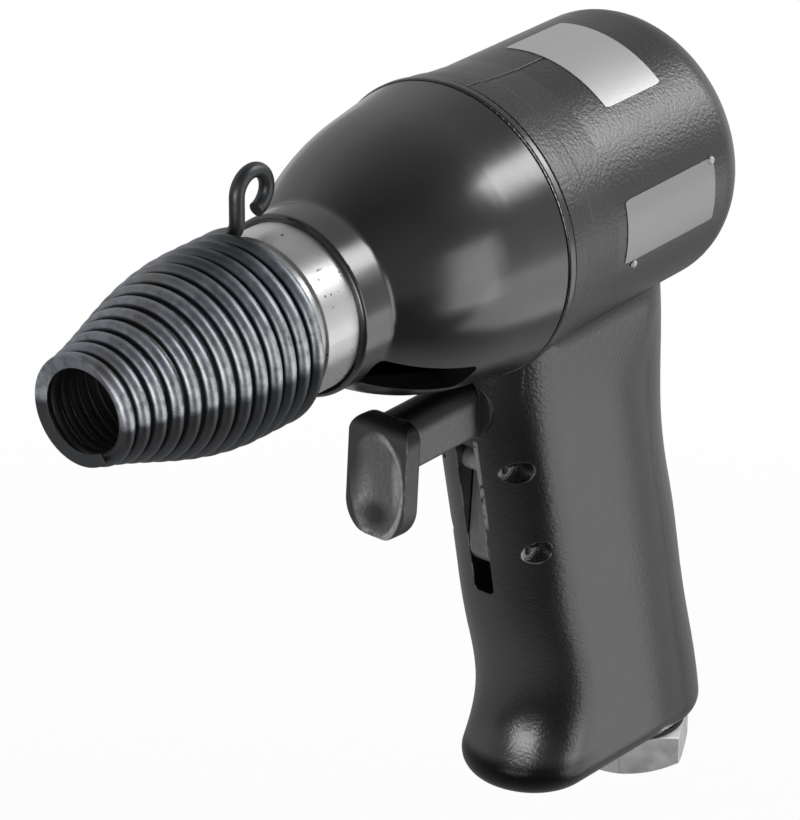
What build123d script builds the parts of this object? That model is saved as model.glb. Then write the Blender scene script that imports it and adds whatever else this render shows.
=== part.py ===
from build123d import *
import os
from math import atan, cos, degrees, pi, radians, sin, sqrt

# Pneumatic chipping hammer with a pistol grip. The barrel runs along Y with its nose towards -Y, and +Z is
# up. The origin is the mouth of the chisel socket, on the barrel's axis. Millimetres and degrees.

# Clearances
running_gap = 0.05        # radial play of a piece that slides or turns in another
seat_gap = 0.02           # radial play of a piece that is pushed home and stays
rest_gap = 0.3            # between pieces that meet at a stop
slot_gap = 0.25           # each side of a flat lever in its slot

# Chisel socket, cylinder and piston
shank_radius = 6.35       # half-inch round chisel shank
socket_length = 40.0
nozzle_bush_wall = 3.6
thread_radius = 16.7      # nose that the retainer screws on
thread_length = 16.6
thread_chamfer = 1.0
collar_radius = 17.3
collar_shown = 9.0        # bright collar between the nose and the cover's neck
collar_in_neck = 6.0      # how far the collar runs into the cover's neck
barrel_radius = 13.5
piston_radius = 9.0
piston_length = 22.0
piston_neck_radius = 6.2
piston_neck_length = 5.0
cylinder_length = 101.0
land_radius = 21.95       # rear land that runs in the housing
land_length = 13.0
exhaust_port_radius = 2.2
exhaust_port_count = 6
exhaust_port_back = 22.0  # behind the chisel socket
float_travel = 3.0        # how far the cylinder gives against its damping spring

# Valve box in the rear of the cylinder
valve_recess_radius = 16.0
valve_recess_depth = 11.0
valve_seat_thickness = 3.5
plate_radius = 10.0
plate_hole_radius = 3.2
plate_thickness = 1.6
plate_travel = 0.8
plate_play = 0.15
valve_port_radius = 1.5
valve_port_count = 6
valve_port_ring = 7.0
cap_hub_radius = 11.0
cap_hub_length = 6.0
dowel_radius = 1.25
dowel_edge = 1.55         # wall between a dowel and the edge of the valve box
dowel_count = 2
dowel_depth = 4.0

# Seals of round section
land_seal_section = 1.2
cover_seal_section = 1.0
bush_seal_section = 0.7

# Retainer spring: a beehive coil that screws on the nose and ends in a finger eye
wire_radius = 1.55
coil_seat_gap = 0.1       # between the wire and the nose that it is screwed on
coil_front_gap = 0.4      # between neighbouring turns
coil_rear_gap = 1.1
coil_turns = 13.54
coil_front_radius = 9.8   # to the wire's centre
coil_full_y = 2.55        # Y from which the coil has its full width
coil_swell_power = 1.5
coil_cut = 1.0            # the front end is ground flat this far behind the wire's centre
coil_end_gap = 0.45       # between the last turn and the collar
coil_end_angle = 110.0    # polar angle of that place, from +X towards +Z
eye_bend_radius = 3.4
eye_radius = 4.35
eye_height = 25.5         # Z of the eye's centre
eye_sweep = 255.0

# Front cover
neck_wall = 1.5
neck_length = 8.4         # from the neck's face to the foot of the bowl
neck_round = 3.0          # hollow curve between them
neck_lip_round = 0.9      # edge of the neck's face
neck_bore_length = 7.4
rim_radius = 31.3
rim_width = 1.9
rim_round = 0.35
cover_rear_step = 0.35    # the cover's rear lies this far below the rim
crown_step = 1.95
crown_ahead = 14.0        # ahead of the joint
rim_groove_width = 0.35
rim_groove_depth = 0.35
cover_wall = 3.0
wiper_width = 1.3
wiper_thickness = 0.9
wiper_inset = 1.2         # behind the neck's face
skirt_step = 5.3          # the screwed skirt lies this far below the rim
skirt_length = 10.0
skirt_wall = 3.2
lip_radius = 17.0         # inner lip that carries the front buffer
lip_thickness = 3.0
window_length = 24.0
window_width = 9.4
window_angle = 45.0       # below the horizontal, one each side
window_corner = 1.5
window_inset = 5.4        # behind the neck's face
front_buffer_thickness = 2.7
front_buffer_wall = 4.5
front_buffer_gap = 0.5    # between its edge and the housing's bore

# Housing
housing_front_step = 0.4  # the housing's front lies this far below the rim
housing_front_chamfer = 0.5
housing_band_length = 4.6
housing_band_step = 0.3
housing_mid_step = 2.0
housing_mid_length = 16.0
housing_rear_step = 2.5
housing_rear_wall = 11.3
housing_rear_round = 9.0
thread_relief = 2.0       # room behind the cover's skirt

# Damping
damping_wire_radius = 1.5
damping_side_gap = 1.5    # between the spring and the housing's bore
damping_turns = 4.3
buffer_gap = 0.5
buffer_height = 13.5
buffer_base_radius = 11.0
buffer_tip_radius = 8.0
buffer_stem_radius = 4.0
buffer_stem_length = 3.5

# Grip: level sections at even steps down from the barrel. Fronts and backs are measured backwards from the
# cover joint; the first two rows lie inside the barrel.
grip_half_width = 14.6
grip_top = -11.5
grip_step = 12.25
grip_fronts = (0.2, 0.6, 1.5, 3.2, 5.5, 7.9, 10.2, 12.8, 15.9, 14.9, 8.7)
grip_backs = (56.0, 58.0, 59.0, 59.1, 59.9, 62.4, 65.2, 67.5, 70.4, 73.4, 75.4)
grip_hidden_count = 2     # rows inside the barrel
grip_bottom_round = 5.0
grip_root_round = 8.0     # hollow curve where the grip's flanks run into the barrel
grip_root_count = 7       # level sections of that curve
grip_root_sweep = 60.0
grip_root_sink = 0.02     # its foot starts this far inside the flank
grip_root_inset = 1.0     # its ends lie this far inside the grip's front and back
slot_width = 5.0
slot_corner = 1.2
slot_lintel = 1.9         # between the trigger's bore and the slot
slot_foot = 6.2           # below the lever's boss
slot_bridge = 8.6         # depth of the wall between the slot and the trigger's bore
slot_rear = 20.5

# Trigger, its link and their pins. Distances back are from the cover joint.
trigger_height = -40.4    # Z of the plunger's axis
trigger_travel = 4.0
plunger_radius = 7.15
plunger_front = 3.2
plunger_rear = 18.2
arm_width = 8.4
arm_bottom = -46.5
arm_top = -34.3
pad_width = 15.0
pad_top = -34.6
pad_bottom = -60.4
pad_front = -23.6
pad_thickness = 5.0
pad_lean = 4.0            # its lower end stands forward
pad_hollow_radius = 13.0  # across the spoon
pad_hollow_length_radius = 35.0  # along it
pad_hollow_depth = 1.8
pad_hollow_drop = 1.5     # the hollow's middle lies this far below the pad's
pad_corner = 4.0
pad_brow_round = 4.0      # the top edge rolls over to the front
pad_toe_round = 1.5
pad_edge_round = 1.2
pad_toe_share = 0.49      # of the pad's width, the round of its lower corners
arm_root = 1.0            # how far the arm starts inside the pad
arm_top_share = 0.45      # of the arm's width, the round of its edges
arm_bottom_share = 0.12
pin_radius = 2.5
pin_wall = 1.1
pin_slit = 0.9
upper_pin = (8.7, -54.8)
lower_pin = (13.85, -74.5)
pin_inset = 0.1           # the ends lie this far below the flank, at the front of their holes
link_end_radius = 2.0
link_end = (13.4, -42.5)
link_boss_radius = 5.3
link_neck_radius = 1.2
link_shoulder = (9.6, -50.6)
link_nose = ((9.6, -58.2), (8.3, -72.5), (8.9, -76.6))
link_back = ((17.2, -70.0), (16.0, -53.0), (14.6, -49.5))

# Throttle valve behind the trigger
throttle_radius = 6.45
throttle_front = 23.0
throttle_length = 14.0
throttle_chamber_radius = 4.2
throttle_chamber_length = 8.0
throttle_port_radius = 2.6
stem_radius = 2.5
valve_head_radius = 5.4
valve_head_thickness = 2.75
facing_thickness = 0.7
spring_spigot_radius = 2.0
spring_spigot_length = 2.5
throttle_bore_end = 51.0
throttle_wire_radius = 0.45
throttle_coil_radius = 3.2
throttle_turns = 4.5
head_room = 0.45          # between the valve head and its chamber

# Air inlet at the heel of the grip
inlet_y = 59.5            # behind the cover joint
inlet_thread_radius = 10.0
inlet_thread_length = 14.0
inlet_hex_flats = 24.0
inlet_hex_height = 8.0
inlet_hex_chamfer = 0.3   # below the flats, at both ends of the hexagon
inlet_chamfer_slope = 2.0
hose_thread_radius = 5.75
hose_thread_depth = 12.0
washer_thickness = 1.0
strainer_radius = 5.0
strainer_flange_radius = 6.4
strainer_height = 7.5
strainer_wall = 0.6
strainer_hole_radius = 0.7
strainer_hole_rows = 3
strainer_hole_count = 8
channel_radius = 4.8

# Places that follow from the sizes above
socket_radius = shank_radius + running_gap
nozzle_bush_radius = socket_radius + nozzle_bush_wall
piston_bore = piston_radius + running_gap
land_front_y = cylinder_length - land_length
skirt_rear_y = land_front_y - rest_gap - front_buffer_thickness
cover_joint_y = skirt_rear_y - skirt_length
neck_front_y = thread_length + collar_shown
bowl_front_y = neck_front_y + neck_length
wiper_y = neck_front_y + wiper_inset
neck_radius = collar_radius + neck_wall
collar_rear_y = neck_front_y + collar_in_neck
cover_rear_radius = rim_radius - cover_rear_step
crown_radius = rim_radius - crown_step
crown_y = cover_joint_y - crown_ahead
skirt_radius = rim_radius - skirt_step
housing_front_radius = rim_radius - housing_front_step
housing_mid_radius = rim_radius - housing_mid_step
housing_rear_radius = rim_radius - housing_rear_step
exhaust_port_y = socket_length + exhaust_port_back
window_front_y = neck_front_y + window_inset
valve_recess_y = cylinder_length - valve_recess_depth
plate_chamber_depth = plate_thickness + plate_travel + 2 * plate_play
valve_cap_y = valve_recess_y + valve_seat_thickness
cap_rear_y = cylinder_length + cap_hub_length
housing_bore = land_radius + running_gap
damping_radius = housing_bore - damping_side_gap - damping_wire_radius
front_buffer_radius = housing_bore - front_buffer_gap
dowel_ring = valve_recess_radius - dowel_edge - dowel_radius
bore_front_y = skirt_rear_y + thread_relief
chamber_rear_y = cap_rear_y + float_travel + buffer_gap + buffer_height
housing_rear_y = chamber_rear_y + housing_rear_wall
trigger_bore = plunger_radius + running_gap
slot_top = trigger_height - trigger_bore - slot_lintel
slot_bottom = lower_pin[1] - link_boss_radius - slot_foot
coil_rear_end = thread_length - coil_end_gap - wire_radius
coil_front_pitch = 2 * wire_radius + coil_front_gap
coil_rear_pitch = 2 * wire_radius + coil_rear_gap
grip_bottom = grip_top - grip_step * (len(grip_fronts) - 1)


def back(distance):
    """Y of a place that lies this far behind the cover joint."""
    return cover_joint_y + distance


def turned(outline):
    """A closed outline of (radius, y) points, turned about the barrel's axis."""
    return revolve(make_face(Polyline(*outline, close=True)), Axis.Y)


def ring(inner, outer, y_front, y_rear):
    return turned([(inner, y_front), (outer, y_front), (outer, y_rear), (inner, y_rear)])


def rod(radius, y_front, y_rear):
    return turned([(0, y_front), (radius, y_front), (radius, y_rear), (0, y_rear)])


def across(radius, y, z, length):
    """A rod along X, centred on the tool's middle plane."""
    return Pos(0, y, z) * Rot(0, 90, 0) * Cylinder(radius, length)


def seal(section, radius, y):
    return Pos(0, y, 0) * Rot(90, 0, 0) * Torus(radius, section)


def around_axis(shape, count):
    return [Rot(0, 360 * i / count, 0) * shape for i in range(count)]


def lengthwise(radius, x, z, y_front, y_rear):
    """A rod along Y at (x, z)."""
    return Pos(x, 0, z) * rod(radius, y_front, y_rear)


def biarc(start, start_dir, end, end_dir):
    """Two arcs that leave start along start_dir and reach end along end_dir."""
    chord = end - start
    both = start_dir + end_dir
    bend = 2 * (1 - start_dir.dot(end_dir))
    reach = (-chord.dot(both) + sqrt(chord.dot(both) ** 2 + bend * chord.dot(chord))) / bend
    corner_a = start + start_dir * reach
    corner_b = end - end_dir * reach
    middle = (corner_a + corner_b) * 0.5
    middle_dir = (corner_b - corner_a).normalized()
    return [
        Edge.make_tangent_arc(start, start_dir, middle),
        Edge.make_tangent_arc(middle, middle_dir, end),
    ]


def coil_edges(place, turns):
    """Half-turn biarcs along place(turn), a curve of points counted in turns."""
    def heading(turn):
        step = 1e-4
        return (place(turn + step) - place(turn - step)).normalized()

    spans = max(1, round(2 * turns))
    stops = [turns * i / spans for i in range(spans + 1)]
    edges = []
    for a, b in zip(stops, stops[1:]):
        edges += biarc(place(a), heading(a), place(b), heading(b))
    return edges, heading(turns)


def wound(edges, radius):
    """A round wire swept along joined edges."""
    path = Wire(edges)
    section = Plane(origin=path @ 0, z_dir=path % 0) * Circle(radius)
    return sweep(section, path=path)


def least_gap(edges, radius):
    """Smallest clear distance between passes of a wire, measured on points along it."""
    points, along, travelled = [], [], 0.0
    for edge in edges:
        count = max(2, int(edge.length))
        for i in range(count):
            points.append(edge @ (i / count))
            along.append(travelled + edge.length * i / count)
        travelled += edge.length
    apart = 4 * radius
    gap = min(
        (p - q).length
        for i, p in enumerate(points)
        for j, q in enumerate(points[:i])
        if along[i] - along[j] > apart * 2
    )
    return gap - 2 * radius


def plain_coil(radius, wire, turns, y_front, y_rear, x=0.0, z=0.0):
    """A cylindrical compression spring between two seats."""
    first = y_front + wire
    pitch = (y_rear - y_front - 2 * wire) / turns

    def place(turn):
        angle = radians(-360 * turn)
        return Vector(x + radius * cos(angle), first + pitch * turn, z + radius * sin(angle))

    edges, _ = coil_edges(place, turns)
    return wound(edges, wire)


# Cylinder group: it floats as one in the housing

def make_cylinder():
    body = turned([(0, 0), (thread_radius - thread_chamfer, 0), (thread_radius, thread_chamfer),
                   (thread_radius, thread_length), (0, thread_length)])
    body += rod(collar_radius, thread_length, collar_rear_y)
    body += rod(barrel_radius, collar_rear_y, land_front_y)
    body += rod(land_radius, land_front_y, cylinder_length)
    body -= rod(nozzle_bush_radius + seat_gap, 0, socket_length)
    body -= rod(piston_bore, socket_length, valve_recess_y)
    body -= rod(valve_recess_radius, valve_recess_y, cylinder_length)
    groove_y = land_front_y + land_length / 2 - land_seal_section
    body -= ring(land_radius - 2 * land_seal_section, land_radius + land_seal_section,
                 groove_y - land_seal_section - seat_gap, groove_y + land_seal_section + seat_gap)
    port = Pos(0, exhaust_port_y, 0) * Cylinder(exhaust_port_radius, barrel_radius * 2,
                                               align=(Align.CENTER, Align.CENTER, Align.MIN))
    for hole in around_axis(port, exhaust_port_count):
        body -= hole
    for hole in around_axis(lengthwise(dowel_radius + seat_gap, dowel_ring, 0, valve_recess_y - dowel_depth,
                                       valve_recess_y), dowel_count):
        body -= hole
    return body


def make_nozzle_bush():
    return ring(socket_radius, nozzle_bush_radius, 0, socket_length)


def make_piston():
    front = socket_length + rest_gap
    neck = front + piston_neck_length
    taper = neck + piston_radius - piston_neck_radius
    rear = front + piston_length
    return turned([(0, front), (piston_neck_radius, front), (piston_neck_radius, neck),
                   (piston_radius, taper), (piston_radius, rear), (0, rear)])


def make_valve_seat():
    rear = valve_cap_y
    seat = ring(plate_hole_radius, valve_recess_radius - seat_gap, valve_recess_y, rear)
    for hole in around_axis(lengthwise(valve_port_radius, valve_port_ring, 0, valve_recess_y, rear),
                            valve_port_count):
        seat -= hole
    dowel_hole = lengthwise(dowel_radius + seat_gap, dowel_ring, 0, valve_recess_y, rear)
    for hole in around_axis(dowel_hole, dowel_count):
        seat -= hole
    return seat


def make_valve_plate():
    front = valve_cap_y + plate_play
    return ring(plate_hole_radius, plate_radius, front, front + plate_thickness)


def make_valve_cap():
    chamber_rear = valve_cap_y + plate_chamber_depth
    cap = rod(valve_recess_radius - seat_gap, valve_cap_y, cylinder_length)
    cap += rod(cap_hub_radius, cylinder_length, cap_rear_y)
    cap -= rod(plate_radius + rest_gap, valve_cap_y, chamber_rear)
    for hole in around_axis(lengthwise(valve_port_radius, valve_port_ring, 0, chamber_rear, cap_rear_y),
                            valve_port_count):
        cap -= hole
    for hole in around_axis(lengthwise(dowel_radius + seat_gap, dowel_ring, 0, valve_cap_y,
                                       valve_cap_y + dowel_depth), dowel_count):
        cap -= hole
    return cap


def make_valve_dowels():
    pin = lengthwise(dowel_radius, dowel_ring, 0, valve_recess_y - dowel_depth, valve_cap_y + dowel_depth)
    return Compound(children=around_axis(pin, dowel_count))


def make_land_seal():
    y = land_front_y + land_length / 2 - land_seal_section
    return seal(land_seal_section, land_radius + running_gap / 2 - land_seal_section, y)


def make_retainer_spring():
    """A beehive of round wire, wound right-handed from the cut front end to the eye at the top rear."""
    coil_rear_radius = thread_radius + coil_seat_gap + wire_radius
    pitch_gain = coil_rear_pitch - coil_front_pitch
    coil_front_end = coil_rear_end - coil_turns * (coil_front_pitch + pitch_gain / 3)
    first_angle = coil_end_angle + 360 * coil_turns
    swell_length = coil_full_y - coil_front_end

    def place(turn):
        angle = radians(first_angle - 360 * turn)
        along = coil_front_pitch * turn + pitch_gain * turn ** 3 / (3 * coil_turns ** 2)
        swell = sin(min(1.0, max(0.0, along / swell_length)) * pi / 2) ** coil_swell_power
        radius = coil_front_radius + (coil_rear_radius - coil_front_radius) * swell
        return Vector(radius * cos(angle), coil_front_end + along, radius * sin(angle))

    edges, heading = coil_edges(place, coil_turns)
    foot = place(coil_turns)
    up = Vector(0, 0, 1)
    turn = radians(heading.get_angle(up))
    inward = (up - heading * heading.dot(up)).normalized()
    risen = foot + heading * (eye_bend_radius * sin(turn)) + inward * (eye_bend_radius * (1 - cos(turn)))
    edges.append(Edge.make_tangent_arc(foot, heading, risen))
    side = Vector(risen.X, risen.Y, eye_height)
    edges.append(Edge.make_line(risen, side))
    hub = side + Vector(0, eye_radius, 0)

    def on_eye(angle):
        return hub + Vector(0, -eye_radius * cos(radians(angle)), eye_radius * sin(radians(angle)))

    edges.append(Edge.make_three_point_arc(side, on_eye(eye_sweep / 4), on_eye(eye_sweep / 2)))
    edges.append(Edge.make_three_point_arc(on_eye(eye_sweep / 2), on_eye(eye_sweep * 3 / 4),
                                           on_eye(eye_sweep)))
    print("retainer spring, least gap to itself: %.2f mm" % least_gap(edges, wire_radius))
    ground_y = coil_front_end + coil_cut
    return wound(edges, wire_radius) - rod(2 * coil_rear_radius, ground_y - 3 * wire_radius, ground_y)


# Front cover and what it holds

def make_front_cover():
    with BuildSketch(Plane.XY) as outline:
        with BuildLine():
            Line((0, neck_front_y), (neck_radius, neck_front_y))
            Line((neck_radius, neck_front_y), (neck_radius, bowl_front_y))
            rise = Line((cover_rear_radius, cover_joint_y - rim_width - rim_groove_width),
                        (crown_radius, crown_y))
            TangentArc(rise @ 1, (neck_radius, bowl_front_y), tangent=rise % 1)
            Line(rise @ 0, (0, (rise @ 0).Y))
            Line((0, (rise @ 0).Y), (0, neck_front_y))
        make_face()
        foot = outline.vertices().sort_by_distance((neck_radius, bowl_front_y))[0]
        fillet(foot, radius=neck_round)
        lip = outline.vertices().sort_by_distance((neck_radius, neck_front_y))[0]
        fillet(lip, radius=neck_lip_round)
    body = revolve(outline.sketch, Axis.Y)
    groove_y = cover_joint_y - rim_width - rim_groove_width
    body += rod(cover_rear_radius - rim_groove_depth, groove_y, cover_joint_y - rim_width)
    rim = rod(rim_radius, cover_joint_y - rim_width, cover_joint_y)
    body += fillet(rim.edges().filter_by(GeomType.CIRCLE), rim_round)
    body += rod(skirt_radius, cover_joint_y, skirt_rear_y)
    neck_bore_end = neck_front_y + neck_bore_length
    lip_y = skirt_rear_y - lip_thickness
    body -= rod(collar_radius + running_gap, neck_front_y, neck_bore_end)
    body -= rod(collar_radius + wiper_thickness, wiper_y, wiper_y + wiper_width)
    body -= turned([(0, neck_bore_end), (collar_radius + running_gap, neck_bore_end),
                    (crown_radius - cover_wall, crown_y),
                    (crown_radius - cover_wall, cover_joint_y - skirt_length / 2),
                    (skirt_radius - skirt_wall, cover_joint_y), (skirt_radius - skirt_wall, lip_y),
                    (0, lip_y)])
    body -= rod(lip_radius, lip_y, skirt_rear_y)
    for side in (window_angle, 180 - window_angle):
        mouth = Plane(origin=(0, window_front_y + window_length / 2, 0), x_dir=(0, 1, 0),
                      z_dir=(cos(radians(side)), 0, -sin(radians(side))))
        body -= extrude(mouth * RectangleRounded(window_length, window_width, window_corner), rim_radius)
    return body


def make_wiper_ring():
    return ring(collar_radius + running_gap, collar_radius + wiper_thickness - seat_gap, wiper_y,
                wiper_y + wiper_width)


def make_cover_seal():
    radius = skirt_radius + cover_seal_section + seat_gap
    return seal(cover_seal_section, radius, cover_joint_y + cover_seal_section)


def make_front_buffer():
    return ring(front_buffer_radius - front_buffer_wall, front_buffer_radius, skirt_rear_y,
                skirt_rear_y + front_buffer_thickness)


# Housing with its grip

def grip_section(height, front, rear, half_width):
    """Two equal circles and their common tangents, level at this height."""
    length = rear - front
    plane = Plane(origin=(0, back(front + length / 2), height), x_dir=(0, 1, 0), z_dir=(0, 0, 1))
    return plane * SlotOverall(length, 2 * half_width)


def grip_row(index):
    return grip_top - grip_step * index, grip_fronts[index], grip_backs[index], grip_half_width


def grip_front(z):
    """Y of the grip's front at a height, along straight lines between its sections."""
    steps = (grip_top - z) / grip_step
    index = int(steps)
    return back(grip_fronts[index] + (grip_fronts[index + 1] - grip_fronts[index]) * (steps - index))


def make_grip_root():
    """The grip's top, whose flanks curve out until they lie on the tapered barrel."""
    _, front, rear, half = grip_row(grip_hidden_count)
    reach = housing_mid_radius + grip_root_round
    middle_x = half + grip_root_round
    middle_z = -sqrt(reach ** 2 - middle_x ** 2)
    rows = []
    for i in range(grip_root_count):
        angle = radians(grip_root_sweep * i / (grip_root_count - 1))
        flank = middle_x - grip_root_round * cos(angle) - grip_root_sink
        height = middle_z + grip_root_round * sin(angle)
        rows.append((height, front + grip_root_inset, rear - grip_root_inset, flank))
    root = loft([grip_section(*row) for row in rows])
    taper = (housing_mid_radius - housing_rear_radius) / (housing_rear_y - back(housing_mid_length))
    tilt = degrees(atan(taper * reach / -middle_z))
    return root.rotate(Axis((0, back(housing_mid_length), 0), (1, 0, 0)), tilt)


def make_housing_form():
    rear_y = housing_rear_y
    band_rear = back(housing_band_length)
    shell = turned([(0, cover_joint_y), (housing_front_radius - housing_front_chamfer, cover_joint_y),
                    (housing_front_radius, back(housing_front_chamfer)),
                    (housing_front_radius - housing_band_step, band_rear),
                    (housing_front_radius - 2 * housing_band_step, band_rear),
                    (housing_mid_radius, back(housing_mid_length)), (housing_rear_radius, rear_y),
                    (0, rear_y)])
    rim = shell.edges().filter_by(GeomType.CIRCLE).sort_by(Axis.Y)[-1]
    shell = fillet(rim, housing_rear_round)
    grip = loft([grip_section(*grip_row(i)) for i in range(len(grip_fronts))])
    sole = grip.faces().sort_by(Axis.Z)[0]
    grip = fillet(sole.edges(), grip_bottom_round)
    return shell + grip + make_grip_root()


def make_handle_housing():
    body = make_housing_form()
    body -= rod(skirt_radius + seat_gap, cover_joint_y, bore_front_y)
    body -= rod(housing_bore, bore_front_y, chamber_rear_y)
    body -= rod(buffer_stem_radius + seat_gap, chamber_rear_y, chamber_rear_y + buffer_stem_length)
    body -= ring(skirt_radius, skirt_radius + 2 * (cover_seal_section + seat_gap), cover_joint_y,
                 cover_joint_y + 2 * cover_seal_section + seat_gap)
    # Trigger bore, lever slot, throttle bore and its passage to the rear chamber
    throttle_rear = throttle_front + throttle_length
    front_room = back(pad_front)
    body -= lengthwise(trigger_bore, 0, trigger_height, front_room, back(throttle_front))
    body -= lengthwise(throttle_radius + seat_gap, 0, trigger_height, back(throttle_front),
                       back(throttle_rear))
    body -= lengthwise(valve_head_radius + head_room, 0, trigger_height, back(throttle_rear),
                       back(throttle_bore_end))
    mouth = Plane(origin=(0, front_room, (slot_top + slot_bottom) / 2), x_dir=(0, 0, 1), z_dir=(0, 1, 0))
    slot = RectangleRounded(slot_top - slot_bottom, slot_width, slot_corner)
    body -= extrude(mouth * slot, back(slot_rear) - front_room)
    cavity = Box(slot_width, slot_rear - slot_bridge, trigger_height - slot_bottom - slot_width)
    body -= Pos(0, back((slot_bridge + slot_rear) / 2), (slot_bottom + trigger_height) / 2) * cavity
    port_y = back(throttle_rear - throttle_chamber_length / 2)
    body -= Pos(0, port_y, trigger_height) * Cylinder(throttle_port_radius, -trigger_height,
                                                      align=(Align.CENTER, Align.CENTER, Align.MIN))
    for y, z in (upper_pin, lower_pin):
        body -= across(pin_radius + seat_gap, back(y), z, 2 * grip_half_width)
    # Air inlet and the channel that leads up the grip
    inlet_top = grip_bottom + inlet_thread_length
    body -= Pos(0, back(inlet_y), grip_bottom) * Cylinder(inlet_thread_radius + seat_gap,
                                                          inlet_thread_length + strainer_height,
                                                          align=(Align.CENTER, Align.CENTER, Align.MIN))
    channel_foot = Vector(0, back(inlet_y), inlet_top + strainer_height - channel_radius)
    channel_head = Vector(0, back(throttle_bore_end) - channel_radius, trigger_height)
    channel = Plane(origin=channel_foot, z_dir=channel_head - channel_foot)
    body -= extrude(channel * Circle(channel_radius), (channel_head - channel_foot).length)
    return body


def make_damping_spring():
    return plain_coil(damping_radius, damping_wire_radius, damping_turns, cylinder_length + rest_gap,
                      chamber_rear_y - rest_gap)


def make_rear_buffer():
    tip_y = cap_rear_y + float_travel + buffer_gap
    stem_y = chamber_rear_y + buffer_stem_length - rest_gap
    return turned([(0, tip_y), (buffer_tip_radius, tip_y), (buffer_base_radius, chamber_rear_y),
                   (buffer_stem_radius, chamber_rear_y), (buffer_stem_radius, stem_y), (0, stem_y)])


# Trigger group

def make_spring_pin(place):
    """A rolled pin with an open slit, driven across the grip until its ends lie below the flanks."""
    y, z = back(place[0]), place[1]
    front_gap = y - pin_radius - grip_front(z)
    flank = sqrt(grip_half_width ** 2 - (grip_half_width - front_gap) ** 2)
    length = 2 * (flank - pin_inset)
    pin = across(pin_radius, y, z, length) - across(pin_radius - pin_wall, y, z, length)
    return pin - Pos(0, y + pin_radius, z) * Box(length, 2 * pin_radius, pin_slit)


def make_trigger():
    pad_height = pad_top - pad_bottom
    middle = (pad_top + pad_bottom) / 2
    face = Plane(origin=(0, back(pad_front), middle), x_dir=(1, 0, 0), z_dir=(0, 1, 0))
    outline = Rectangle(pad_width, pad_height)
    outline = fillet(outline.vertices().group_by(Axis.Y)[0], pad_corner)
    outline = fillet(outline.vertices().group_by(Axis.Y)[-1], pad_width * pad_toe_share)
    pad = extrude(face * outline, pad_thickness)
    pad = fillet(pad.faces().sort_by(Axis.Y)[-1].edges(), pad_edge_round)
    flank = Plane(origin=(-pad_width / 2, back(pad_front) + pad_thickness / 2, middle), x_dir=(0, 1, 0),
                  z_dir=(1, 0, 0))
    profile = Rectangle(pad_thickness, pad_height)
    front = profile.vertices().group_by(Axis.X)[0].sort_by(Axis.Y)
    profile = fillet(front[-1], pad_brow_round)
    front = profile.vertices().group_by(Axis.X)[0].sort_by(Axis.Y)
    profile = fillet(front[0], pad_toe_round)
    pad &= extrude(flank * profile, pad_width)
    dish_ring = pad_hollow_length_radius - pad_hollow_radius
    dish_y = back(pad_front) + pad_hollow_depth - pad_hollow_length_radius
    pad -= Pos(0, dish_y, middle - pad_hollow_drop) * Rot(0, 90, 0) * Torus(dish_ring, pad_hollow_radius)
    pad = pad.rotate(Axis((0, back(pad_front) + pad_thickness, trigger_height), (1, 0, 0)), -pad_lean)
    arm_front = back(pad_front) + pad_thickness - arm_root
    arm_plane = Plane(origin=(0, arm_front, 0), x_dir=(1, 0, 0), z_dir=(0, 1, 0))
    arm_depth = arm_top - arm_bottom
    arm_face = Pos(0, -(arm_top + arm_bottom) / 2) * Rectangle(arm_width, arm_depth)
    arm = extrude(arm_plane * arm_face, back(plunger_front) - arm_front)
    arm = fillet(arm.edges().filter_by(Axis.Y).group_by(Axis.Z)[-1], arm_width * arm_top_share)
    arm = fillet(arm.edges().filter_by(Axis.Y).group_by(Axis.Z)[0], arm_width * arm_bottom_share)
    plunger = lengthwise(plunger_radius, 0, trigger_height, back(plunger_front), back(plunger_rear))
    pocket_y = back(link_end[0])
    pocket_length = 2 * (link_end_radius + slot_gap)
    pocket_top = link_end[1] + link_end_radius + rest_gap
    floor = trigger_height - plunger_radius
    plunger -= Pos(0, pocket_y, (pocket_top + floor) / 2) * Box(slot_width, pocket_length, pocket_top - floor)
    return pad + arm + plunger


def make_trigger_link():
    """A flat lever on the lower pin. Its round head sits in the trigger's plunger."""
    thickness = slot_width - 2 * slot_gap
    flat = Plane(origin=(-thickness / 2, 0, 0), x_dir=(0, 1, 0), z_dir=(1, 0, 0))
    pivot = (back(lower_pin[0]), lower_pin[1])
    head = (back(link_end[0]), link_end[1])
    stop = (back(upper_pin[0]), upper_pin[1])
    stop_radius = pin_radius + rest_gap
    nose = [(back(y), z) for y, z in link_nose]
    rear = [(back(y), z) for y, z in link_back]
    shoulder = (back(link_shoulder[0]), link_shoulder[1])
    neck_front, neck_rear = head[0] - link_neck_radius, head[0] + link_neck_radius
    outline = make_face(Polyline(*nose, pivot, *rear, (neck_rear, head[1]), (neck_front, head[1]),
                                 (neck_front, shoulder[1] + link_end_radius), shoulder, close=True))
    outline += Pos(*pivot) * Circle(link_boss_radius)
    outline += Pos(*head) * Circle(link_end_radius)
    outline -= Pos(*stop) * Circle(stop_radius)
    outline -= Pos(*pivot) * Circle(pin_radius + running_gap)
    return extrude(flat * outline, thickness)


# Throttle valve

def make_throttle_bush():
    y_front = back(throttle_front)
    y_rear = y_front + throttle_length
    chamber_y = y_rear - throttle_chamber_length
    bush = ring(stem_radius + running_gap, throttle_radius, y_front, y_rear)
    bush -= rod(throttle_chamber_radius, chamber_y, y_rear)
    port = Pos(0, y_rear - throttle_chamber_length / 2, 0) * Cylinder(
        throttle_port_radius, 2 * throttle_radius, align=(Align.CENTER, Align.CENTER, Align.MIN))
    bush -= port
    for y in throttle_seal_places():
        bush -= ring(throttle_radius - 2 * bush_seal_section + seat_gap, throttle_radius + bush_seal_section,
                     y - bush_seal_section - seat_gap, y + bush_seal_section + seat_gap)
    return Pos(0, 0, trigger_height) * bush


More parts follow.
